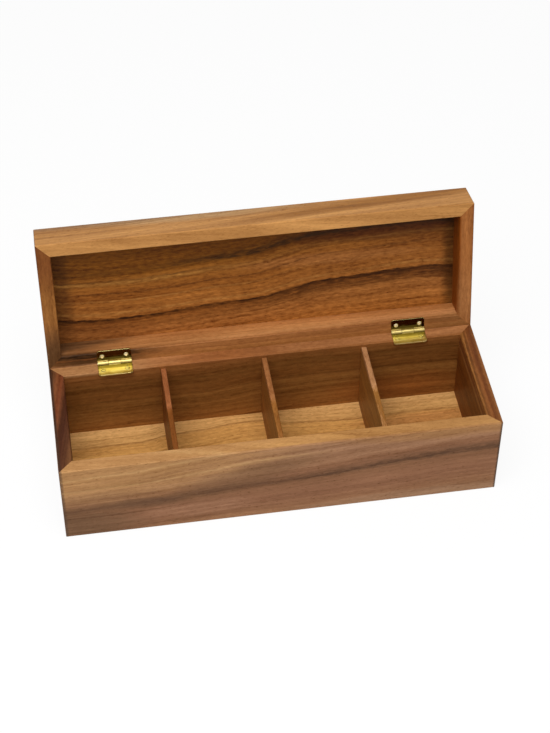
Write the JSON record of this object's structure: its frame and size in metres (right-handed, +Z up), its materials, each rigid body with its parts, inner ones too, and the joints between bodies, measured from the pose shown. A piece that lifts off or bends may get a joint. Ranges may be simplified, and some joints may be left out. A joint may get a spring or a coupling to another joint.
{
  "type": "tea bag organizer box",
  "caption": "Long hinged wooden box with mitred corners, divided inside into equal compartments for wrapped tea bags, shown with its shallow lid open.",
  "frame": {"origin": "middle of the underside, in the plane that the box stands on", "axes": "+X along the box to the right as seen from the front, +Y to the back, where the hinges are, +Z up"},
  "size_m": [0.34, 0.1613, 0.1819],
  "materials": {
    "golden_wood": "satin",
    "brown_wood": "satin",
    "red_wood": "satin",
    "pale_wood": "satin",
    "brass": "polished",
    "bright_brass": "polished"
  },
  "bodies": {
    "box_body": {"body_front_wall": "golden_wood", "body_back_wall": "brown_wood", "body_left_wall": "red_wood", "body_right_wall": "brown_wood", "bottom_panel": "golden_wood", "divider_left": "red_wood", "divider_middle": "golden_wood", "divider_right": "pale_wood", "left_hinge_body_leaf": "brass", "left_hinge_body_screws": "bright_brass", "right_hinge_body_leaf": "brass", "right_hinge_body_screws": "bright_brass"},
    "lid": {"lid_front_rail": "golden_wood", "lid_back_rail": "red_wood", "lid_left_rail": "red_wood", "lid_right_rail": "golden_wood", "lid_panel": "brown_wood", "left_hinge_lid_leaf": "brass", "left_hinge_pin": "brass", "left_hinge_lid_screws": "bright_brass", "right_hinge_lid_leaf": "brass", "right_hinge_pin": "brass", "right_hinge_lid_screws": "bright_brass"}
  },
  "joints": [
    {"name": "lid_hinge", "type": "hinge", "parent": "box_body", "child": "lid", "pos_m": [0, 0.0543, 0.07515], "axis": [1, 0, 0], "range_deg": [0, 103]}
  ]
}
